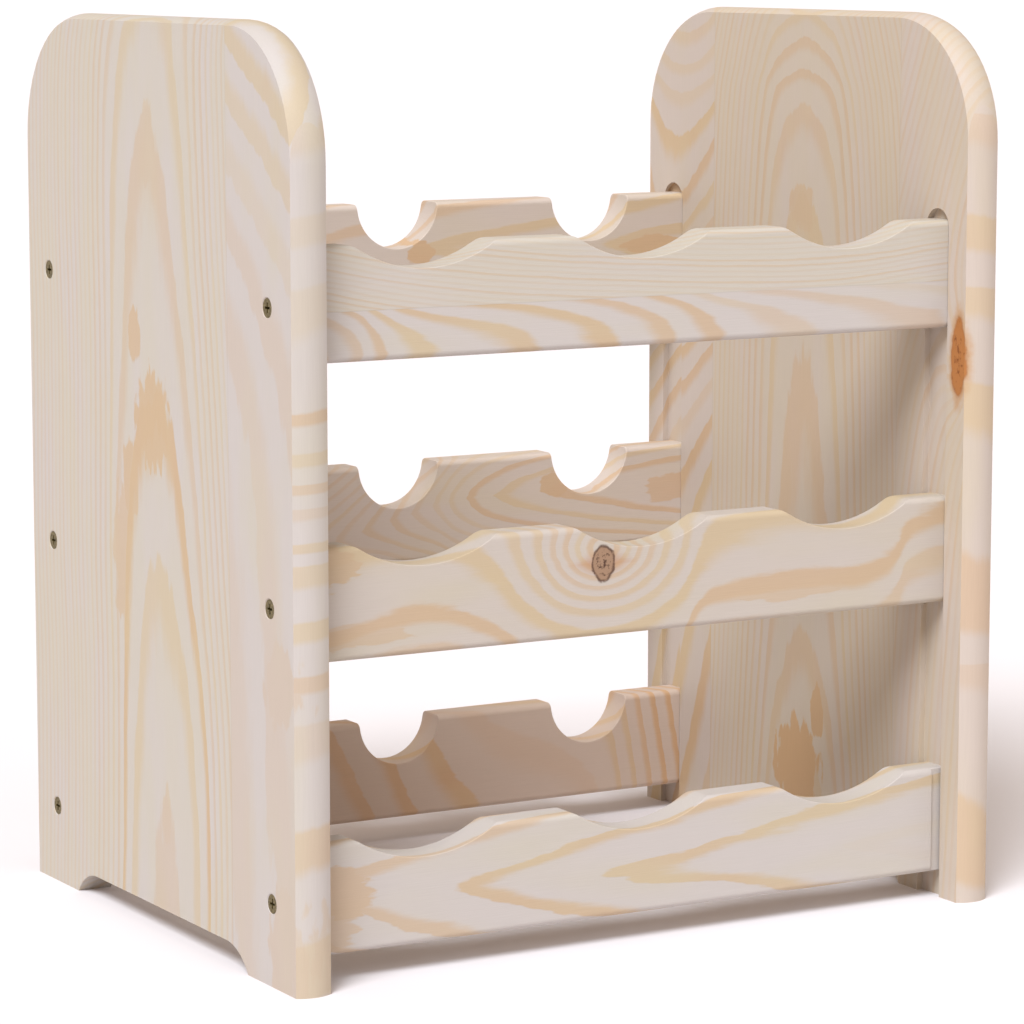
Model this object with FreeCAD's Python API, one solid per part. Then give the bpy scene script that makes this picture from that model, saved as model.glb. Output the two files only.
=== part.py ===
import FreeCAD, Part
import math
import os

# Nine-bottle wine rack in solid pine: two side panels, three scalloped front rails,
# three notched back rails, and twelve countersunk screws that pull the rails into
# stopped grooves in the panels.
# Frame: X runs along the rails, Y from front to back, Z up. The origin is on the
# floor under the middle of the rack, and the front of the rack faces -Y.

# Side panels
PANEL_THICKNESS = 18.0
PANEL_DEPTH = 300.0
PANEL_HEIGHT = 444.0
CROWN = 2.8
CORNER_RADIUS = 60.0

# Low arch between the two feet of each panel
FOOT_LENGTH = 52.3
ARCH_HEIGHT = 11.9
ARCH_RADIUS = 28.0

# Stopped grooves that house the rail ends
GROOVE_WIDTH = 18.8
GROOVE_DEPTH = 3.2
GROOVE_TOP = 348.0
RAIL_SETBACK = 27.0

# Rails
RAIL_LENGTH = 360.0
RAIL_THICKNESS = 18.0
RAIL_HEIGHT = 53.4
RAIL_EASING = 3.0
LOWEST_RAIL = 13.4
RAIL_PITCH = 137.9

# Bottle places
BOTTLES_PER_ROW = 3
SCALLOP_DEPTH = 11.7
SCALLOP_RADIUS = 66.0
SCALLOP_SHOULDER = 10.0
SHOULDER_PROUD = 0.1
NOTCH_RADIUS = 23.8
CUT_EASING = 0.5

# Thinned right-hand end of the bottom front rail
REBATE_LENGTH = 8.3
REBATE_DEPTH = 1.2

# Countersunk wood screws, 4.5 x 50
SCREW_LENGTH = 50.0
SCREW_SUNK = 0.3
SCREW_HEIGHT = 26.0
HEAD_RADIUS = 4.5
HEAD_EDGE = 0.2
SHANK_RADIUS = 1.65
THREAD_RADIUS = 2.25
THREAD_PITCH = 2.0
THREAD_TURNS = 15
TIP_LENGTH = 4.0
CLEARANCE_RADIUS = 2.4
RECESS_SPAN = 4.8
RECESS_SLOT = 1.1
RECESS_DEPTH = 2.2

# Sizes that follow from the ones above
INNER_WIDTH = RAIL_LENGTH - 2 * GROOVE_DEPTH
INNER_X = INNER_WIDTH / 2
OUTER_X = INNER_X + PANEL_THICKNESS
FACE_Y = PANEL_DEPTH / 2 - CROWN
FACE_TOP = PANEL_HEIGHT - CROWN
CORNER_Y = FACE_Y - CORNER_RADIUS
CORNER_Z = FACE_TOP - CORNER_RADIUS
RAIL_Y = PANEL_DEPTH / 2 - RAIL_SETBACK
BOTTLE_PITCH = INNER_WIDTH / BOTTLES_PER_ROW
ROWS = ("bottom", "middle", "top")

AXIS_X = FreeCAD.Vector(1, 0, 0)
AXIS_Y = FreeCAD.Vector(0, 1, 0)
AXIS_Z = FreeCAD.Vector(0, 0, 1)
ORIGIN = FreeCAD.Vector(0, 0, 0)


def vec(x, y, z):
    return FreeCAD.Vector(x, y, z)


def joined(solids):
    """One clean solid from solids that share faces."""
    return solids[0].multiFuse(solids[1:]).removeSplitter()


def arc_edge(start, middle, end):
    return Part.Arc(start, middle, end).toShape()


def rail_z(row):
    """Underside of the rail in a row, counted from the floor up."""
    return LOWEST_RAIL + row * RAIL_PITCH


def bottle_x():
    """Centre of each bottle place along a rail."""
    first = -(BOTTLES_PER_ROW - 1) / 2 * BOTTLE_PITCH
    return [first + n * BOTTLE_PITCH for n in range(BOTTLES_PER_ROW)]


# ---- side panels, drawn with the inner face at X = 0 and the outer face at X = 18 ----

def panel_board():
    """Flat board inside the crowned edge, with its two round top corners."""
    width = vec(PANEL_THICKNESS, 0, 0)
    lean = CORNER_RADIUS * math.sqrt(0.5)
    front_low = vec(0, -FACE_Y, 0)
    front_high = vec(0, -FACE_Y, CORNER_Z)
    front_mid = vec(0, -CORNER_Y - lean, CORNER_Z + lean)
    top_front = vec(0, -CORNER_Y, FACE_TOP)
    top_back = vec(0, CORNER_Y, FACE_TOP)
    back_mid = vec(0, CORNER_Y + lean, CORNER_Z + lean)
    back_high = vec(0, FACE_Y, CORNER_Z)
    back_low = vec(0, FACE_Y, 0)
    edges = [
        Part.makeLine(front_low, front_high),
        arc_edge(front_high, front_mid, top_front),
        Part.makeLine(top_front, top_back),
        arc_edge(top_back, back_mid, back_high),
        Part.makeLine(back_high, back_low),
        Part.makeLine(back_low, front_low),
    ]
    return Part.Face(Part.Wire(edges)).extrude(width)


def crown_section():
    """Shallow rounded section worked along the front edge, lying at Z = 0."""
    near = vec(0, -FACE_Y, 0)
    far = vec(PANEL_THICKNESS, -FACE_Y, 0)
    crest = vec(PANEL_THICKNESS / 2, -FACE_Y - CROWN, 0)
    edges = [arc_edge(near, crest, far), Part.makeLine(far, near)]
    return Part.Face(Part.Wire(edges))


def half_crown():
    """Crowned edge up the front, round the corner and to the middle of the top."""
    section = crown_section()
    upright = section.extrude(vec(0, 0, CORNER_Z))
    section.translate(vec(0, 0, CORNER_Z))
    corner_axis = vec(0, -CORNER_Y, CORNER_Z)
    corner = section.revolve(corner_axis, AXIS_X, -90)
    section.rotate(corner_axis, AXIS_X, -90)
    top = section.extrude(vec(0, CORNER_Y, 0))
    return [upright, corner, top]


def crown_solids():
    front = half_crown()
    back = [piece.mirror(ORIGIN, AXIS_Y) for piece in front]
    return front + back


def arch_cutter():
    """Low arch that leaves a foot at the front and at the back."""
    foot_y = PANEL_DEPTH / 2 - FOOT_LENGTH
    drop = ARCH_RADIUS - ARCH_HEIGHT
    run = math.sqrt(ARCH_RADIUS ** 2 - drop ** 2)
    flat_y = foot_y - run
    turn = math.atan2(run, drop) / 2
    mid_y = flat_y + ARCH_RADIUS * math.sin(turn)
    mid_z = ARCH_RADIUS * math.cos(turn) - drop
    front_foot = vec(0, -foot_y, 0)
    front_flat = vec(0, -flat_y, ARCH_HEIGHT)
    back_flat = vec(0, flat_y, ARCH_HEIGHT)
    back_foot = vec(0, foot_y, 0)
    edges = [
        arc_edge(front_foot, vec(0, -mid_y, mid_z), front_flat),
        Part.makeLine(front_flat, back_flat),
        arc_edge(back_flat, vec(0, mid_y, mid_z), back_foot),
        Part.makeLine(back_foot, front_foot),
    ]
    return Part.Face(Part.Wire(edges)).extrude(vec(PANEL_THICKNESS, 0, 0))


def groove_cutter(y):
    """Groove open at the floor and stopped by a half round at the top."""
    radius = GROOVE_WIDTH / 2
    height = GROOVE_TOP - radius
    slot = Part.makeBox(GROOVE_DEPTH, GROOVE_WIDTH, height, vec(0, y - radius, 0))
    end = Part.makeCylinder(radius, GROOVE_DEPTH, vec(0, y, height), AXIS_X)
    return slot.fuse(end)


def screw_hole(y, z):
    """Countersunk clearance hole, entered from the outer face."""
    mouth = HEAD_RADIUS + HEAD_EDGE + SCREW_SUNK
    cone_length = mouth - CLEARANCE_RADIUS
    outer = vec(PANEL_THICKNESS, y, z)
    inward = vec(-1, 0, 0)
    sink = Part.makeCone(mouth, CLEARANCE_RADIUS, cone_length, outer, inward)
    bore = Part.makeCylinder(CLEARANCE_RADIUS, PANEL_THICKNESS, outer, inward)
    return sink.fuse(bore)


def side_panel():
    panel = joined([panel_board()] + crown_solids())
    cutters = [arch_cutter(), groove_cutter(-RAIL_Y), groove_cutter(RAIL_Y)]
    for row in range(len(ROWS)):
        height = rail_z(row) + SCREW_HEIGHT
        cutters += [screw_hole(-RAIL_Y, height), screw_hole(RAIL_Y, height)]
    for cutter in cutters:
        panel = panel.cut(cutter)
    return panel


# ---- rails, drawn with the underside at Z = 0 and centred on X and Y ----

def rail_stock():
    """Planed board with its four long edges rounded."""
    corner = vec(-RAIL_LENGTH / 2, -RAIL_THICKNESS / 2, 0)
    board = Part.makeBox(RAIL_LENGTH, RAIL_THICKNESS, RAIL_HEIGHT, corner)
    long_edges = [edge for edge in board.Edges if edge.Length > RAIL_LENGTH - 1]
    return board.makeFillet(RAIL_EASING, long_edges)


def scallop_cutter(x):
    """Wide shallow hollow for a bottle body, with a rounded shoulder on each side."""
    bowl_z = RAIL_HEIGHT - SCALLOP_DEPTH + SCALLOP_RADIUS
    crest_z = RAIL_HEIGHT + SHOULDER_PROUD
    shoulder_z = crest_z - SCALLOP_SHOULDER
    drop = bowl_z - shoulder_z
    reach = SCALLOP_RADIUS + SCALLOP_SHOULDER
    shoulder_x = math.sqrt(reach ** 2 - drop ** 2)
    touch_x = shoulder_x * SCALLOP_RADIUS / reach
    touch_z = bowl_z - drop * SCALLOP_RADIUS / reach
    turn = math.atan2(shoulder_x, drop) / 2
    half_x = shoulder_x - SCALLOP_SHOULDER * math.sin(turn)
    half_z = shoulder_z + SCALLOP_SHOULDER * math.cos(turn)
    left_crest = vec(x - shoulder_x, 0, crest_z)
    right_crest = vec(x + shoulder_x, 0, crest_z)
    left_touch = vec(x - touch_x, 0, touch_z)
    right_touch = vec(x + touch_x, 0, touch_z)
    floor = vec(x, 0, RAIL_HEIGHT - SCALLOP_DEPTH)
    lid = vec(x, 0, RAIL_HEIGHT + SCALLOP_DEPTH)
    edges = [
        arc_edge(left_crest, vec(x - half_x, 0, half_z), left_touch),
        arc_edge(left_touch, floor, right_touch),
        arc_edge(right_touch, vec(x + half_x, 0, half_z), right_crest),
        Part.makeLine(right_crest, lid),
        Part.makeLine(lid, left_crest),
    ]
    cutter = Part.Face(Part.Wire(edges)).extrude(vec(0, 2 * RAIL_THICKNESS, 0))
    cutter.translate(vec(0, -RAIL_THICKNESS, 0))
    return cutter


def notch_cutter(x):
    """Half-round notch for a bottle neck, centred on the top of the rail."""
    start = vec(x, -RAIL_THICKNESS, RAIL_HEIGHT)
    return Part.makeCylinder(NOTCH_RADIUS, 2 * RAIL_THICKNESS, start, AXIS_Y)


def cut_edges(solid):
    """Sharp edges left round the scallops or notches."""
    owners = {}
    for face in solid.Faces:
        surface = face.Surface
        if isinstance(surface, Part.Cylinder) and abs(surface.Axis.y) > 0.9:
            for edge in face.Edges:
                owners.setdefault(edge.hashCode(), []).append(edge)
    return [found[0] for found in owners.values() if len(found) == 1]


def pilot_hole(side):
    """Hole in the end grain that the screw's thread fills."""
    depth = SCREW_LENGTH - PANEL_THICKNESS + GROOVE_DEPTH + 1.0
    start = vec(side * RAIL_LENGTH / 2, 0, SCREW_HEIGHT)
    return Part.makeCylinder(THREAD_RADIUS, depth, start, vec(-side, 0, 0))


def rail(cutter):
    shaped = rail_stock()
    for x in bottle_x():
        shaped = shaped.cut(cutter(x))
    shaped = shaped.makeFillet(CUT_EASING, cut_edges(shaped))
    return shaped.cut(pilot_hole(-1)).cut(pilot_hole(1))


def end_rebate():
    """Shallow step across the front face at the right-hand end."""
    start = vec(RAIL_LENGTH / 2 - REBATE_LENGTH, -RAIL_THICKNESS / 2, 0)
    return Part.makeBox(REBATE_LENGTH, REBATE_DEPTH, RAIL_HEIGHT, start)


# ---- screws, drawn with the head at X = 0 and the point towards -X ----

def screw_body():
    """Countersunk head, plain neck, ridged thread and point, turned about X."""
    neck_at = HEAD_RADIUS - SHANK_RADIUS + HEAD_EDGE
    thread_end = SCREW_LENGTH - TIP_LENGTH
    thread_start = thread_end - THREAD_TURNS * THREAD_PITCH
    points = [
        vec(0, 0, 0),
        vec(0, HEAD_RADIUS, 0),
        vec(-HEAD_EDGE, HEAD_RADIUS, 0),
        vec(-neck_at, SHANK_RADIUS, 0),
    ]
    for turn in range(THREAD_TURNS):
        root = thread_start + turn * THREAD_PITCH
        points.append(vec(-root, SHANK_RADIUS, 0))
        points.append(vec(-root - THREAD_PITCH * 0.4, THREAD_RADIUS, 0))
        points.append(vec(-root - THREAD_PITCH * 0.8, SHANK_RADIUS, 0))
    points.append(vec(-thread_end, SHANK_RADIUS, 0))
    points.append(vec(-SCREW_LENGTH, 0, 0))
    points.append(vec(0, 0, 0))
    return Part.Face(Part.makePolygon(points)).revolve(ORIGIN, AXIS_X, 360)


def cross_recess():
    """Cross slot for the driver, in the top of the head."""
    span = RECESS_SPAN / 2
    slot = RECESS_SLOT / 2
    corner = vec(-RECESS_DEPTH, -span, -slot)
    first = Part.makeBox(RECESS_DEPTH, RECESS_SPAN, RECESS_SLOT, corner)
    corner = vec(-RECESS_DEPTH, -slot, -span)
    second = Part.makeBox(RECESS_DEPTH, RECESS_SLOT, RECESS_SPAN, corner)
    return first.fuse(second)


def screw():
    return screw_body().cut(cross_recess())


# ---- the whole rack ----

def moved(shape, x, y, z):
    placed = shape.copy()
    placed.translate(vec(x, y, z))
    return placed


def panels():
    right = moved(side_panel(), INNER_X, 0, 0)
    left = right.mirror(ORIGIN, AXIS_X)
    return {"side_panel_left": left, "side_panel_right": right}


def rails():
    front = rail(scallop_cutter)
    back = rail(notch_cutter)
    nodes = {}
    for row, name in enumerate(ROWS):
        nodes["front_rail_" + name] = moved(front, 0, -RAIL_Y, rail_z(row))
        nodes["back_rail_" + name] = moved(back, 0, RAIL_Y, rail_z(row))
    step = moved(end_rebate(), 0, -RAIL_Y, rail_z(0))
    nodes["front_rail_bottom"] = nodes["front_rail_bottom"].cut(step)
    return nodes


def screws():
    right = moved(screw(), OUTER_X - SCREW_SUNK, 0, 0)
    left = right.mirror(ORIGIN, AXIS_X)
    nodes = {}
    for side, shape in (("left", left), ("right", right)):
        for place, y in (("front", -RAIL_Y), ("back", RAIL_Y)):
            for row, name in enumerate(ROWS):
                node = "_".join(("screw", side, place, name))
                nodes[node] = moved(shape, 0, y, rail_z(row) + SCREW_HEIGHT)
    return nodes


def main():
    os.makedirs("parts", exist_ok=True)
    nodes = {}
    nodes.update(panels())
    nodes.update(rails())
    nodes.update(screws())
    for name, shape in nodes.items():
        shape.exportStep("parts/" + name + ".step")


main()
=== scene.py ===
"""Wine rack in bare pine, on a plain pale studio floor."""
import math

import bpy
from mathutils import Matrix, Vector


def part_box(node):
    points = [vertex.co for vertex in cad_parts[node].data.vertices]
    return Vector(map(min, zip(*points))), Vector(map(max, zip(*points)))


# Distances in the wood layouts below are millimetres in the part's own frame.
MM = 0.001

# Camera: the main viewing angle, from the front left and a little above the rack.
# Place in metres, turn to the right and dip in radians, lens in millimetres.
CAMERA_PLACE = (-1.00384, -1.7512, 0.48079)
CAMERA_YAW = 0.52214
CAMERA_PITCH = 0.14157
CAMERA_LENS = 141.66
CAMERA_SENSOR = 36.0
CAMERA_CLIP = (0.05, 100.0)

# Studio: a pale floor, a white horizon under a dim warm sky, and two soft distant lamps
SKY_COLOUR = (0.58, 0.49, 0.41)
HORIZON_COLOUR = (1.0, 1.0, 1.0)
HORIZON_BLEND = (0.1, 0.2)
FLOOR_COLOUR = (0.77, 0.735, 0.75)
FLOOR_SIZE = 120.0
FLOOR_ROUGHNESS = 0.9
# Degrees round from the front towards the left side, degrees above the floor, strength, and
# angular size in degrees
KEY_LAMP = (51.0, 50.0, 3.35, 28.0)
FILL_LAMP = (-30.0, 42.0, 0.35, 40.0)
LAMP_COLOUR = (0.94, 1.0, 1.07)

# Colours, sRGB 0-255
EARLYWOOD_PALE = (187, 179, 174)
EARLYWOOD_CREAM = (187, 179, 167)
LATEWOOD_GOLD = (188, 167, 130)
LATEWOOD_ORANGE = (186, 155, 117)
LATEWOOD_AMOUNT = 0.68
KNOT_ORANGE = (172, 122, 80)
KNOT_DARK = (80, 54, 42)
KNOT_CORE = (152, 122, 98)
ZINC_CLEAN = (120, 104, 60)
ZINC_WORN = (82, 71, 40)

# Wobble of the growth rings: feature size along and across the grain, amount in rings
SLOW_WOBBLE = (120.0, 26.0, 0.35)
MEDIUM_WOBBLE = (34.0, 6.0, 0.3)
QUICK_WOBBLE = (7.0, 2.2, 0.07)

WOOD_ROUGHNESS = 0.62
WOOD_SPECULAR = 0.3
WOOD_RELIEF = 0.0002
ZINC_ROUGHNESS = 0.42
ZINC_METALLIC = 0.5
ZINC_RELIEF = 0.0001
ZINC_STAINS_PER_METRE = 900.0

# Keeps the ring numbers of neighbouring staves apart, so that chance differs between them
STAVE_NUMBER_GAP = 31.0


def linear(colour):
    """Scene-linear RGBA from an sRGB colour given in 0-255."""
    out = []
    for channel in colour:
        c = channel / 255
        out.append(c / 12.92 if c <= 0.04045 else ((c + 0.055) / 1.055) ** 2.4)
    return (*out, 1.0)


def apply_tone_and_painted_shade(colour, tone_and_painted_shade):
    """A wood colour scaled by a board's tone: the board's own wood colour, and on the right panel
    and back rails also a painted warm shade.
    """
    red, green, blue = linear(colour)[:3]
    return (red * tone_and_painted_shade[0], green * tone_and_painted_shade[1], blue * tone_and_painted_shade[2], 1.0)


class Graph:
    """Small helper that writes shader nodes as expressions."""

    def __init__(self, material):
        material.use_nodes = True
        self.tree = material.node_tree
        self.shader = self.tree.nodes["Principled BSDF"]
        self.count = 0

    def node(self, kind):
        made = self.tree.nodes.new("ShaderNode" + kind)
        made.location = (-220 * (self.count // 12) - 300, -170 * (self.count % 12))
        self.count += 1
        return made

    def plug(self, socket, value):
        if isinstance(value, bpy.types.NodeSocket):
            self.tree.links.new(value, socket)
        else:
            socket.default_value = value

    def math(self, operation, *values):
        made = self.node("Math")
        made.operation = operation
        for socket, value in zip(made.inputs, values):
            self.plug(socket, value)
        return made.outputs[0]

    def add(self, first, *others):
        for other in others:
            first = self.math("ADD", first, other)
        return first

    def sub(self, a, b):
        return self.math("SUBTRACT", a, b)

    def mul(self, a, b):
        return self.math("MULTIPLY", a, b)

    def ramp(self, value, low, high, out_low=0.0, out_high=1.0):
        """Smooth step from out_low to out_high while value goes from low to high."""
        made = self.node("MapRange")
        made.interpolation_type = "SMOOTHSTEP"
        for name, number in (("Value", value), ("From Min", low), ("From Max", high),
                             ("To Min", out_low), ("To Max", out_high)):
            self.plug(made.inputs[name], number)
        return made.outputs[0]

    def course(self, value, points, smooth=True):
        """Curve through a few (input, output) points, carried on straight past its ends."""
        xs = [p[0] for p in points]
        ys = [p[1] for p in points]
        low, span = min(ys), max(max(ys) - min(ys), 1e-6)
        made = self.node("FloatCurve")
        made.mapping.use_clip = False
        made.mapping.extend = "EXTRAPOLATED"
        curve = made.mapping.curves[0]
        scaled = [((x - xs[0]) / (xs[-1] - xs[0]), (y - low) / span) for x, y in points]
        curve.points[0].location = scaled[0]
        curve.points[1].location = scaled[-1]
        for place in scaled[1:-1]:
            curve.points.new(*place)
        for point in curve.points:
            point.handle_type = "AUTO_CLAMPED" if smooth else "VECTOR"
        made.mapping.update()
        width = xs[-1] - xs[0]
        self.plug(made.inputs["Value"], self.math("DIVIDE", self.sub(value, xs[0]), width))
        return self.add(self.mul(made.outputs[0], span), low)

    def vector(self, x, y, z):
        made = self.node("CombineXYZ")
        for socket, value in zip(made.inputs, (x, y, z)):
            self.plug(socket, value)
        return made.outputs[0]

    def noise(self, vector, detail, roughness=0.5):
        """Noise centred on 0."""
        made = self.node("TexNoise")
        self.plug(made.inputs["Vector"], vector)
        made.inputs["Scale"].default_value = 1.0
        made.inputs["Detail"].default_value = detail
        made.inputs["Roughness"].default_value = roughness
        return self.sub(made.outputs["Fac"], 0.5)

    def grain_noise(self, board, along, across, seed, **options):
        """Noise drawn out along the board; along and across are feature sizes."""
        length = self.math("DIVIDE", board["L"], along)
        width = self.math("DIVIDE", self.add(board["T"], seed * 37.0), across)
        depth = self.math("DIVIDE", board["D"], across)
        return self.noise(self.vector(length, width, depth), **options)

    def chance(self, value, seed):
        """Random number in 0-1 that stays the same for the same value."""
        made = self.node("TexWhiteNoise")
        made.noise_dimensions = "1D"
        self.plug(made.inputs["W"], self.add(value, seed + 0.5))
        return made.outputs["Value"]

    def mix(self, factor, a, b):
        made = self.node("Mix")
        made.data_type = "RGBA"
        self.plug(made.inputs["Factor"], factor)
        self.plug(made.inputs["A"], a)
        self.plug(made.inputs["B"], b)
        return made.outputs["Result"]

    def relief(self, height, strength, distance):
        """Bump on the shader; distance is in metres."""
        bump = self.node("Bump")
        bump.inputs["Strength"].default_value = strength
        bump.inputs["Distance"].default_value = distance
        self.plug(bump.inputs["Height"], height)
        self.plug(self.shader.inputs["Normal"], bump.outputs[0])

    def pick(self, mask, off, on):
        """off where mask is 0 and on where it is 1."""
        return self.add(off, self.mul(mask, self.sub(on, off)))


def board_axes(graph, along, across, deep, face):
    """Millimetres along the grain (L), across the face (T) and in from the face (D)."""
    coordinates = graph.node("TexCoord").outputs["Object"]
    split = graph.node("SeparateXYZ")
    graph.plug(split.inputs[0], coordinates)
    axes = {}
    for name, axis in (("L", along), ("T", across), ("D", deep)):
        axes[name] = graph.math("DIVIDE", split.outputs[axis], MM)
    axes["D"] = graph.sub(axes["D"], face)
    return axes


def bump_of_knot(graph, board, knot):
    """How far a knot pushes the growth rings aside, in rings."""
    along = graph.math("DIVIDE", graph.sub(board["L"], knot["L"]), knot["stretch"])
    across = graph.sub(board["T"], knot["T"])
    reach = graph.math("SQRT", graph.add(graph.mul(along, along), graph.mul(across, across)))
    fall = graph.math("POWER", graph.math("DIVIDE", reach, knot["reach"]), knot.get("power", 1.6))
    return graph.mul(graph.math("EXPONENT", graph.mul(fall, -1.0)), knot["rings"])


def stave_rings(graph, board, stave):
    """Growth-ring number at each point of one stave."""
    across = graph.sub(board["T"], graph.course(board["L"], stave["centre"]))
    if stave.get("arch", True):
        across = graph.math("ABSOLUTE", across)
    rings = graph.add(graph.course(board["L"], stave["rings"]),
                      graph.course(across, stave["across"]))
    rings = graph.add(rings, graph.mul(board["D"], stave.get("deep", 0.1)))
    for knot in stave.get("knots", ()):
        rings = graph.add(rings, bump_of_knot(graph, board, knot))
    return rings


def ring_strength(graph, number, stave, seed):
    """How plainly each ring shows: listed ring by ring, or left to chance."""
    chance = graph.chance(number, seed)
    if "vivid" not in stave:
        return graph.mul(graph.ramp(chance, 0.0, 1.0, 0.45, 1.0), stave.get("contrast", 1.0))
    listed = graph.course(number, stave["vivid"], smooth=False)
    return graph.mul(listed, graph.ramp(chance, 0.0, 1.0, 0.8, 1.1))


def late_bands(graph, rings, strength, stave):
    """Soft bands, one for each ring, with a sharper edge on the outer side."""
    part = graph.math("FRACT", rings)
    start = stave.get("late_start", 0.42)
    rise = graph.ramp(part, start, start + stave.get("late_rise", 0.33))
    drop = graph.ramp(part, stave.get("late_end", 0.93), 1.0, 1.0, 0.0)
    return graph.mul(graph.mul(rise, drop), strength)


def ring_pattern(graph, board, spec, wobble):
    """Late-wood amount, ring number, pink tint and glue lines over the whole board."""
    late = number = tint = seams = None
    for index, stave in enumerate(spec["staves"]):
        rings = graph.add(stave_rings(graph, board, stave),
                          graph.mul(wobble, stave.get("wobble", 1.0)))
        own_number = graph.math("FLOOR", rings)
        strength = ring_strength(graph, own_number, stave, spec["seed"] + index)
        own_late = late_bands(graph, rings, strength, stave)
        own_number = graph.add(own_number, STAVE_NUMBER_GAP * index)
        if late is None:
            late, number, tint = own_late, own_number, stave.get("tint", 0.0)
            continue
        axis = board["T"]
        inside = graph.math("GREATER_THAN", axis, stave["starts"])
        late = graph.pick(inside, late, own_late)
        number = graph.pick(inside, number, own_number)
        tint = graph.pick(inside, tint, stave.get("tint", 0.0))
        if stave.get("seam", True):
            gap = graph.math("ABSOLUTE", graph.sub(axis, stave["starts"]))
            line = graph.ramp(gap, 0.1, 0.55, 1.0, 0.0)
            seams = line if seams is None else graph.math("MAXIMUM", seams, line)
    return late, number, tint, seams


def blot(graph, board, place, torn):
    """Flame-shaped blot of late wood: (L, T, half length, half width, strength)."""
    length, width, half_length, half_width, strength = place
    along = graph.math("DIVIDE", graph.sub(board["L"], length), half_length)
    across = graph.math("DIVIDE", graph.sub(board["T"], width), half_width)
    reach = graph.math("SQRT", graph.add(graph.mul(along, along), graph.mul(across, across)))
    return graph.ramp(graph.add(reach, graph.mul(torn, 1.3)), 0.84, 1.0, strength, 0.0)


def knot_face(graph, board, knot, colour):
    """Broken dark rim, mottled core and orange surround of one knot."""
    seed = knot.get("seed", 0.0)
    wander = graph.grain_noise(board, 7.0, 7.0, seed=3.0 + seed, detail=3.0)
    along = graph.math("DIVIDE", graph.sub(board["L"], knot["L"]), knot["half_length"])
    across = graph.math("DIVIDE", graph.sub(board["T"], knot["T"]), knot["half_width"])
    inward = graph.math("DIVIDE", board["D"], knot["half_depth"])
    reach = graph.math("SQRT", graph.add(graph.mul(along, along), graph.mul(across, across),
                                         graph.mul(inward, inward)))
    reach = graph.add(reach, graph.mul(wander, 0.6))
    streak = graph.add(reach, graph.mul(graph.math("ABSOLUTE", across), knot.get("tails", 0.0)))
    halo = graph.ramp(streak, 0.9, knot.get("halo", 2.2), knot.get("glow", 0.8), 0.0)
    colour = graph.mix(halo, colour, linear(knot.get("surround", KNOT_ORANGE)))
    inside = graph.ramp(reach, 0.88, 1.04, 1.0, 0.0)
    speck = graph.grain_noise(board, *knot.get("speckle", (3.4, 2.6)), seed=5.0 + seed, detail=3.0,
                              roughness=0.65)
    heart = graph.ramp(reach, 0.0, 1.0, knot.get("heart", 0.1), -0.08)
    mottle = graph.ramp(graph.add(speck, heart), 0.0, 0.14)
    core = graph.mix(mottle, linear(knot.get("core", KNOT_CORE)),
                     linear(knot.get("dark", KNOT_DARK)))
    colour = graph.mix(inside, colour, core)
    rim_gap = graph.math("ABSOLUTE", graph.sub(reach, 0.95))
    broken = graph.ramp(speck, -0.22, 0.02, 0.25, 1.0)
    rim = graph.mul(graph.ramp(rim_gap, 0.02, 0.16, knot.get("rim", 0.85), 0.0), broken)
    return graph.mix(rim, colour, linear(KNOT_DARK))


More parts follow.
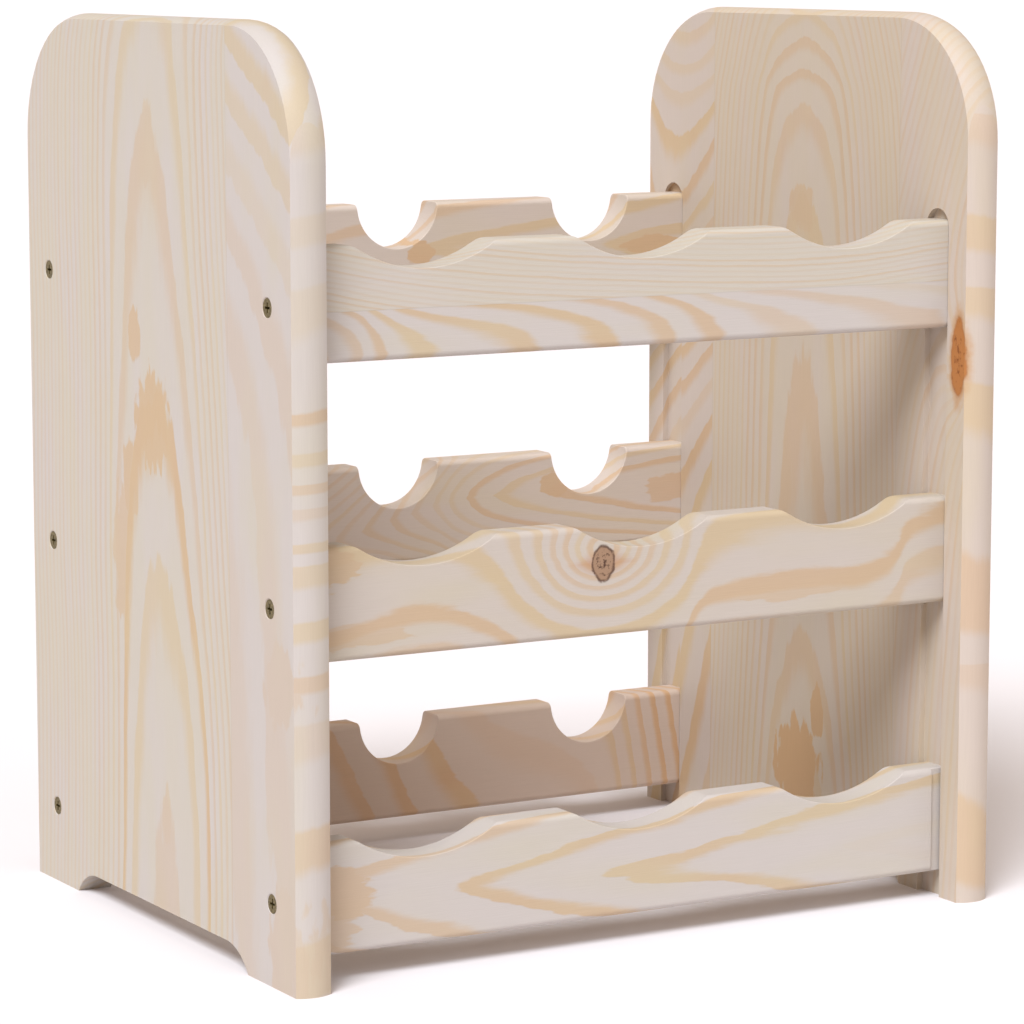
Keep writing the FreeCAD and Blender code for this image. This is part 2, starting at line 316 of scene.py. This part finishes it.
def pine(name, spec):
    """Bare pine whose ring pattern follows the layout of the board with that name."""
    material = bpy.data.materials.new(name + "_pine")
    graph = Graph(material)
    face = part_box(name)[0][spec["axes"][2]] / MM
    board = board_axes(graph, *spec["axes"], face)
    seed = spec["seed"]
    slow = graph.grain_noise(board, *SLOW_WOBBLE[:2], seed=seed, detail=1.0)
    medium = graph.grain_noise(board, *MEDIUM_WOBBLE[:2], seed=seed + 1, detail=3.0)
    quick = graph.grain_noise(board, *QUICK_WOBBLE[:2], seed=seed + 2, detail=1.0)
    wobble = graph.add(graph.mul(slow, SLOW_WOBBLE[2]), graph.mul(medium, MEDIUM_WOBBLE[2]),
                       graph.mul(quick, QUICK_WOBBLE[2]))
    late, number, tint, seams = ring_pattern(graph, board, spec, wobble)

    shift = graph.grain_noise(board, 90.0, 22.0, seed=seed + 4, detail=1.0)
    pink = graph.ramp(graph.add(shift, tint), -0.2, 0.25)
    # Board tone: the board's own wood colour, plus painted warm shade on the right panel and back
    # rails
    tone_and_painted_shade = spec.get("tone_and_painted_shade", (1.0, 1.0, 1.0))
    early = graph.mix(pink, apply_tone_and_painted_shade(EARLYWOOD_CREAM, tone_and_painted_shade), apply_tone_and_painted_shade(EARLYWOOD_PALE, tone_and_painted_shade))
    warm = graph.add(graph.chance(number, seed + 7), shift, spec.get("warmth", 0.0))
    warm = graph.ramp(warm, 0.2, 0.8)
    torn = graph.grain_noise(board, 16.0, 5.0, seed=seed + 5, detail=3.0)
    for place in spec.get("blots", ()):
        mask = blot(graph, board, place, torn)
        late = graph.math("MAXIMUM", late, mask)
        warm = graph.math("MAXIMUM", warm, graph.mul(mask, 0.8))
    gold = graph.mix(warm, apply_tone_and_painted_shade(LATEWOOD_GOLD, tone_and_painted_shade), apply_tone_and_painted_shade(LATEWOOD_ORANGE, tone_and_painted_shade))
    colour = graph.mix(graph.mul(late, LATEWOOD_AMOUNT), early, gold)

    fibre = graph.grain_noise(board, 22.0, 0.55, seed=9.0, detail=3.0, roughness=0.6)
    value = graph.add(graph.mul(fibre, 0.10), 1.0)
    if seams is not None:
        value = graph.sub(value, graph.mul(seams, 0.06))
    for knot in spec.get("knots", ()):
        colour = knot_face(graph, board, knot, colour)
    shaded = graph.node("HueSaturation")
    graph.plug(shaded.inputs["Color"], colour)
    graph.plug(shaded.inputs["Value"], value)
    graph.plug(graph.shader.inputs["Base Color"], shaded.outputs[0])

    rough = graph.add(graph.mul(late, -0.08), graph.mul(fibre, 0.12), WOOD_ROUGHNESS)
    graph.plug(graph.shader.inputs["Roughness"], rough)
    graph.shader.inputs["Specular IOR Level"].default_value = WOOD_SPECULAR
    graph.relief(graph.add(fibre, graph.mul(late, 0.35)), 0.25, WOOD_RELIEF)
    return material


# ---- layouts ----
#
# A board is a row of staves from low T to high T. Each stave numbers its growth rings:
#   centre   T of the middle of the pattern, by L
#   rings    ring number at that middle, by L
#   across   rings added on the way out from the middle; both ways alike when arch is true
#   deep     rings added for each millimetre in from the face
#   starts   T at which the stave takes over from the one before
#   vivid    how plainly each ring shows, by ring number; otherwise contrast scales it
#   late_*   where the late wood starts, how softly, and where it ends, in parts of a ring
#   tint     leans the early wood towards pink (up) or cream (down)
# D counts from the face of the board on the low side of its third axis.

PANEL_AXES = (2, 1, 0)
RAIL_AXES = (0, 2, 1)
EDGE_DEPTH = -147.2

# Rings crossed on the way out from the middle of an arch
ARCH_WALL = ((0, 0.0), (12, 0.12), (22, 0.36), (32, 0.78), (44, 1.5), (54, 2.7), (150, 22.0))
STEEP_WALL = ((0, 0.0), (10, 0.14), (20, 0.45), (30, 1.0), (42, 2.4), (60, 5.6), (150, 27.0))


def edge_bands(slant, spans):
    """Front edge of a panel, crossed by one late-wood band over each span."""
    course = [(-10.0, 0.0)]
    for index, (low, high) in enumerate(spans):
        course += [(low, index + 0.62), (high, index + 0.96)]
    course.append((460.0, len(spans) + 0.3))
    return {"centre": ((0, 0), (444, 0)), "rings": course, "across": ((-160, 0.0), (0, 0.1)),
            "arch": False, "deep": slant, "tint": 0.12, "contrast": 0.85, "wobble": 0.25,
            "late_rise": 0.14}


def left_panel():
    edge = edge_bands(-0.004, ((2, 25), (65, 78), (116, 127), (144, 149), (168, 174), (193, 200),
                               (207, 210), (223, 226), (234, 237), (247, 251), (266, 269),
                               (311, 325), (348, 357), (392, 412)))
    front = {
        "starts": EDGE_DEPTH, "seam": False,
        "centre": ((0, -150), (444, -150)),
        "rings": ((0, 0.55), (120, 0.3), (200, 0.1), (270, -0.35), (320, -1.1), (360, -2.1),
                  (400, -3.4), (444, -5.0)),
        "across": ((-10, -0.16), (0, 0.0), (68, 1.5), (80, 1.7)),
        "arch": False, "deep": 0.05, "tint": 0.18, "late_start": 0.3,
        "vivid": ((-6, 0.95), (-4, 0.95), (-3, 0.6), (-2, 0.35), (0, 0.35), (2, 0.5)),
    }
    main = {
        "starts": -82.0,
        "centre": ((0, -7), (68, -9), (185, -3), (278, 0), (400, 5), (444, 0)),
        "rings": ((0, 0.72), (70, 0.98), (187, 1.98), (276, 2.98), (402, 3.98), (444, 4.5)),
        "across": ARCH_WALL, "deep": 0.1, "tint": -0.05,
        "vivid": ((0, 0.6), (1, 0.8), (2, 1.1), (3, 0.55), (4, 0.7), (6, 0.6), (9, 0.55),
                  (30, 0.5)),
    }
    blots = ((250, 1, 26, 20, 1.1), (291, 21, 15, 7.5, 1.0), (218, 27, 24, 9, 1.0),
             (182, 38, 38, 11, 0.8), (60, -10, 16, 6, 0.6), (384, 4, 20, 10, 0.55),
             (143, -133, 22, 17, 0.5), (20, -136, 34, 16, 0.5))
    return {"axes": PANEL_AXES, "seed": 1.0, "staves": (edge, front, main),
            "blots": blots}


def right_panel():
    edge = edge_bands(0.004, ((18, 56), (118, 122), (147, 180), (250, 264), (303, 311), (334, 347),
                              (389, 396), (405, 409)))
    front = {
        "starts": EDGE_DEPTH, "seam": False,
        "centre": ((0, 34), (120, 26), (220, 14), (300, -8), (444, -62)),
        "rings": ((0, 0.0), (444, 1.0)),
        "across": ((-250, -46.0), (0, 0.0)),
        "arch": False, "deep": -0.1, "tint": 0.0, "contrast": 0.5,
        "knots": ({"L": 276, "T": -141, "stretch": 1.8, "reach": 17, "rings": 5.0},),
    }
    middle = {
        "starts": -90.0,
        "centre": ((0, -8), (270, -5), (444, -3)),
        "rings": ((0, 0.0), (60, 0.98), (125, 1.98), (268, 2.98), (352, 3.98), (397, 4.98),
                  (414, 5.98), (430, 7.0), (444, 8.0)),
        "across": STEEP_WALL, "deep": -0.1, "tint": -0.1,
        "vivid": ((0, 0.7), (1, 0.6), (2, 0.6), (3, 0.75), (4, 0.7), (6, 0.6), (9, 0.5), (40, 0.5)),
    }
    back = {
        "starts": 82.0,
        "centre": ((0, 250), (200, 225), (300, 170), (360, 122), (444, 108)),
        "rings": ((0, 0.0), (180, 2.2), (270, 4.5), (350, 6.3), (378, 7.1), (398, 8.0), (413, 9.0),
                  (431, 10.0), (444, 10.7)),
        "across": ((0, 0.0), (12, -0.12), (24, -0.5), (40, -1.2), (120, -4.6)),
        "deep": -0.1, "tint": 0.1, "contrast": 1.1, "wobble": 0.7,
    }
    knot = {"L": 275, "T": -142, "half_length": 20, "half_width": 6.0, "half_depth": 8,
            "rim": 0.15, "halo": 1.5, "heart": 0.04,
            "surround": (184, 138, 92), "core": (172, 112, 60), "dark": (134, 78, 38)}
    blots = ((76, -21, 15, 6.5, 1.2), (46, -3, 26, 23, 1.3), (342, -3, 13, 13, 0.7))
    # The warmer tone here is painted shade: the warm light of this panel's shaded inner face is
    # painted into its wood colour
    return {"axes": PANEL_AXES, "seed": 2.0, "staves": (edge, front, middle, back),
            "knots": (knot,), "blots": blots, "tone_and_painted_shade": (1.06, 0.99, 0.92)}


def top_front_rail():
    lower = {
        "centre": ((-180, 302), (180, 302)),
        "rings": ((-180, -0.4), (-154, 0.9), (-142, 1.9), (-122, 2.9), (-66, 3.9), (-19, 4.9),
                  (13, 5.9), (40, 6.9), (80, 7.8), (180, 9.2)),
        "across": ((-16, -0.3), (-5, -0.1), (0, 0.1), (5, 0.5), (11, 1.2)),
        "arch": False, "deep": 0.05, "tint": 0.2, "late_start": 0.36, "late_end": 0.86,
        "vivid": ((-1, 0.6), (0, 0.8), (3, 1.0), (5, 1.1), (6, 1.0), (7, 0.6), (9, 0.45)),
    }
    upper = {
        "starts": 312.6,
        "centre": ((-180, 21), (-100, 8), (0, 0), (90, -3), (180, 3)),
        "rings": ((-180, 0.0), (180, 1.0)),
        "across": ((0, 0.0), (400, 148.0)),
        "arch": False, "deep": 0.1, "tint": -0.12, "contrast": 0.55, "wobble": 2.0,
    }
    return {"axes": RAIL_AXES, "seed": 3.0, "staves": (lower, upper),
            "warmth": 0.3}


def middle_front_rail():
    whole = {
        "centre": ((-180, 165), (-118, 174), (-90, 168), (-60, 150), (-22, 136), (20, 148),
                   (42, 172), (120, 172), (142, 176), (158, 194), (180, 200)),
        "rings": ((-180, 0.9), (180, 0.9)),
        "across": ((-60, -2.6), (-14, -0.75), (0, 0.0), (14, 0.3), (60, 1.6)),
        "arch": False, "deep": 0.04, "tint": 0.1, "late_start": 0.3, "late_end": 0.86,
        "vivid": ((-2, 0.7), (-1, 0.8), (0, 0.9), (1, 0.9), (2, 0.75), (8, 0.7)),
        "knots": (
            {"L": -22, "T": 193, "stretch": 1.35, "reach": 22, "rings": 6.0, "power": 1.5},
        ),
    }
    knot = {"L": -22, "T": 186.5, "half_length": 6.2, "half_width": 8.6, "half_depth": 60,
            "tails": 2.6, "halo": 3.6, "glow": 0.65, "heart": 0.06, "seed": 4.0,
            "speckle": (2.2, 1.9)}
    blots = ((-176, 196, 22, 12, 0.9), (-160, 163, 34, 6, 0.6), (84, 166, 40, 6, 0.6))
    return {"axes": RAIL_AXES, "seed": 4.0, "staves": (whole,), "knots": (knot,),
            "blots": blots, "tone_and_painted_shade": (0.98, 0.95, 0.90)}


def bottom_front_rail():
    whole = {
        "centre": ((-180, 44), (-104, 38.5), (-10, 34), (60, 33), (180, 31)),
        "rings": ((-180, 3.95), (-147, 3.4), (-104, 2.97), (-10, 1.97), (180, 0.5)),
        "across": ((0, 0.0), (4, 0.1), (10, 0.42), (16, 0.66), (23, 0.95), (32, 1.4)),
        "deep": 0.05, "tint": 0.15, "late_start": 0.62, "late_rise": 0.2, "late_end": 0.95,
        "vivid": ((0, 0.1), (1, 1.0), (2, 1.0), (3, 1.0), (5, 0.8)),
    }
    blots = ((-164, 42, 20, 14, 0.9), (-178, 28, 26, 14, 0.7))
    return {"axes": RAIL_AXES, "seed": 5.0, "staves": (whole,), "blots": blots,
            "warmth": 0.25}


def top_back_rail():
    whole = {
        "centre": ((-180, 310), (8, 318), (180, 316)),
        "rings": ((-180, 3.9), (-90, 2.97), (8, 1.97), (128, 0.97), (180, 0.5)),
        "across": ((0, 0.0), (6, 0.2), (13, 0.6), (22, 1.05), (40, 1.8)),
        "deep": 0.06, "tint": 0.15, "late_start": 0.55, "late_rise": 0.2,
        "vivid": ((0, 0.9), (5, 0.8)),
    }
    blots = ((14, 316, 9, 7, 1.1), (160, 315, 22, 6, 1.1))
    # The warmer tone here is painted shade: the warm light in the shade behind the front rails is
    # painted into this rail's colour
    return {"axes": RAIL_AXES, "seed": 6.0, "staves": (whole,), "blots": blots,
            "tone_and_painted_shade": (1.10, 1.03, 0.96)}


def middle_back_rail():
    whole = {
        "centre": ((-180, 150), (-60, 160), (0, 176), (60, 184), (180, 182)),
        "rings": ((-180, 16.0), (-40, 11.0), (20, 7.0), (40, 5.0), (58, 3.97), (92, 2.97),
                  (150, 1.97), (180, 1.5)),
        "across": ((0, 0.0), (6, 0.35), (14, 1.2), (24, 2.6), (40, 5.0)),
        "deep": 0.06, "tint": 0.1, "late_start": 0.5, "late_rise": 0.25,
        "vivid": ((1, 1.0), (3, 0.8), (6, 0.6), (16, 0.5)),
    }
    blots = ((96, 187, 9, 7, 1.0), (168, 181, 16, 9, 0.8))
    # The warmer tone here is painted shade: the warm light in the shade behind the front rails is
    # painted into this rail's colour
    return {"axes": RAIL_AXES, "seed": 7.0, "staves": (whole,), "blots": blots,
            "tone_and_painted_shade": (1.13, 1.05, 0.98)}


def bottom_back_rail():
    whole = {
        "centre": ((-180, 14), (180, 14)),
        "rings": ((-180, -5.0), (-42, -0.03), (-14, 0.97), (12, 1.97), (52, 2.97), (126, 3.97),
                  (140, 4.97), (150, 5.97), (160, 6.97), (170, 7.97), (180, 8.97)),
        "across": ((0, 0.0), (54, 1.0)),
        "arch": False, "deep": 0.05, "tint": 0.25, "late_start": 0.45, "wobble": 0.5,
        "vivid": ((-6, 0.8), (2, 1.0), (3, 0.25), (4, 0.95), (9, 1.1)),
    }
    # The warmer, redder tone here is painted shade: the warm light in this rail's deep shade is
    # painted into its wood colour
    return {"axes": RAIL_AXES, "seed": 8.0, "staves": (whole,), "warmth": 0.3,
            "tone_and_painted_shade": (1.14, 0.99, 0.87)}


def layouts():
    return {
        "side_panel_left": left_panel(),
        "side_panel_right": right_panel(),
        "front_rail_top": top_front_rail(),
        "front_rail_middle": middle_front_rail(),
        "front_rail_bottom": bottom_front_rail(),
        "back_rail_top": top_back_rail(),
        "back_rail_middle": middle_back_rail(),
        "back_rail_bottom": bottom_back_rail(),
    }


def screw_metal():
    """Dull yellow-passivated zinc with darker wear."""
    material = bpy.data.materials.new("screw_zinc")
    graph = Graph(material)
    coordinates = graph.node("TexCoord").outputs["Object"]
    scaled = graph.node("VectorMath")
    scaled.operation = "SCALE"
    graph.plug(scaled.inputs[0], coordinates)
    scaled.inputs["Scale"].default_value = ZINC_STAINS_PER_METRE
    stain = graph.noise(scaled.outputs[0], detail=3.0)
    colour = graph.mix(graph.ramp(stain, -0.2, 0.2), linear(ZINC_CLEAN), linear(ZINC_WORN))
    graph.plug(graph.shader.inputs["Base Color"], colour)
    graph.plug(graph.shader.inputs["Roughness"], graph.add(graph.mul(stain, 0.3), ZINC_ROUGHNESS))
    graph.shader.inputs["Metallic"].default_value = ZINC_METALLIC
    graph.relief(stain, 0.2, ZINC_RELIEF)
    return material


def dress(frame):
    """Pine on every board and zinc on every screw."""
    boards = layouts()
    zinc = screw_metal()
    for name, item in frame["nodes"].items():
        material = pine(name, boards[name]) if name in boards else zinc
        item.data.materials.clear()
        item.data.materials.append(material)


def add_floor():
    half = FLOOR_SIZE / 2
    mesh = bpy.data.meshes.new("floor")
    corners = [(-half, -half, 0), (half, -half, 0), (half, half, 0), (-half, half, 0)]
    mesh.from_pydata(corners, [], [(0, 1, 2, 3)])
    floor = bpy.data.objects.new("floor", mesh)
    bpy.context.scene.collection.objects.link(floor)
    material = bpy.data.materials.new("floor")
    graph = Graph(material)
    graph.shader.inputs["Base Color"].default_value = (*FLOOR_COLOUR, 1.0)
    graph.shader.inputs["Roughness"].default_value = FLOOR_ROUGHNESS
    graph.shader.inputs["Specular IOR Level"].default_value = 0.0
    mesh.materials.append(material)


def add_surroundings():
    """Plain surroundings: white near the horizon and dimmer overhead."""
    world = bpy.data.worlds.new("studio")
    bpy.context.scene.world = world
    world.use_nodes = True
    tree = world.node_tree
    coordinates = tree.nodes.new("ShaderNodeTexCoord")
    split = tree.nodes.new("ShaderNodeSeparateXYZ")
    height = tree.nodes.new("ShaderNodeMapRange")
    height.interpolation_type = "SMOOTHSTEP"
    height.inputs["From Min"].default_value = HORIZON_BLEND[0]
    height.inputs["From Max"].default_value = HORIZON_BLEND[1]
    shade = tree.nodes.new("ShaderNodeMix")
    shade.data_type = "RGBA"
    shade.inputs["A"].default_value = (*HORIZON_COLOUR, 1.0)
    shade.inputs["B"].default_value = (*SKY_COLOUR, 1.0)
    tree.links.new(coordinates.outputs["Generated"], split.inputs[0])
    tree.links.new(split.outputs["Z"], height.inputs["Value"])
    tree.links.new(height.outputs[0], shade.inputs["Factor"])
    tree.links.new(shade.outputs["Result"], tree.nodes["Background"].inputs["Color"])


def add_lamp(name, azimuth, height, strength, spread):
    """Soft distant lamp shining towards the rack."""
    data = bpy.data.lights.new(name, "SUN")
    data.energy = strength
    data.color = LAMP_COLOUR
    data.angle = math.radians(spread)
    lamp = bpy.data.objects.new(name, data)
    bpy.context.scene.collection.objects.link(lamp)
    turn = math.radians(azimuth)
    rise = math.radians(height)
    level = math.cos(rise)
    source = Vector((-math.sin(turn) * level, -math.cos(turn) * level, math.sin(rise)))
    lamp.rotation_euler = source.to_track_quat("Z", "Y").to_euler()


def add_camera():
    data = bpy.data.cameras.new("camera")
    camera = bpy.data.objects.new("camera", data)
    bpy.context.scene.collection.objects.link(camera)
    camera.location = CAMERA_PLACE
    camera.rotation_euler = (math.pi / 2 - CAMERA_PITCH, 0, -CAMERA_YAW)
    data.sensor_width = CAMERA_SENSOR
    data.lens = CAMERA_LENS
    data.clip_start, data.clip_end = CAMERA_CLIP
    bpy.context.scene.camera = camera


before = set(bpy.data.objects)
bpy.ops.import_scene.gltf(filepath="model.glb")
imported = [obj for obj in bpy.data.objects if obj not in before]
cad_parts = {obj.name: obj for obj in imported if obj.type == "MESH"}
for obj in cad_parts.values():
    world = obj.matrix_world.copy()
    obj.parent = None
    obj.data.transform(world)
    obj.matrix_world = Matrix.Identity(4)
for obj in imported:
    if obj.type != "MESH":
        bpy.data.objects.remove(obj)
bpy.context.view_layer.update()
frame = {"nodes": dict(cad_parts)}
dress(frame)
add_floor()
add_surroundings()
add_lamp("key", *KEY_LAMP)
add_lamp("fill", *FILL_LAMP)
add_camera()
bpy.context.scene.view_settings.view_transform = "Standard"
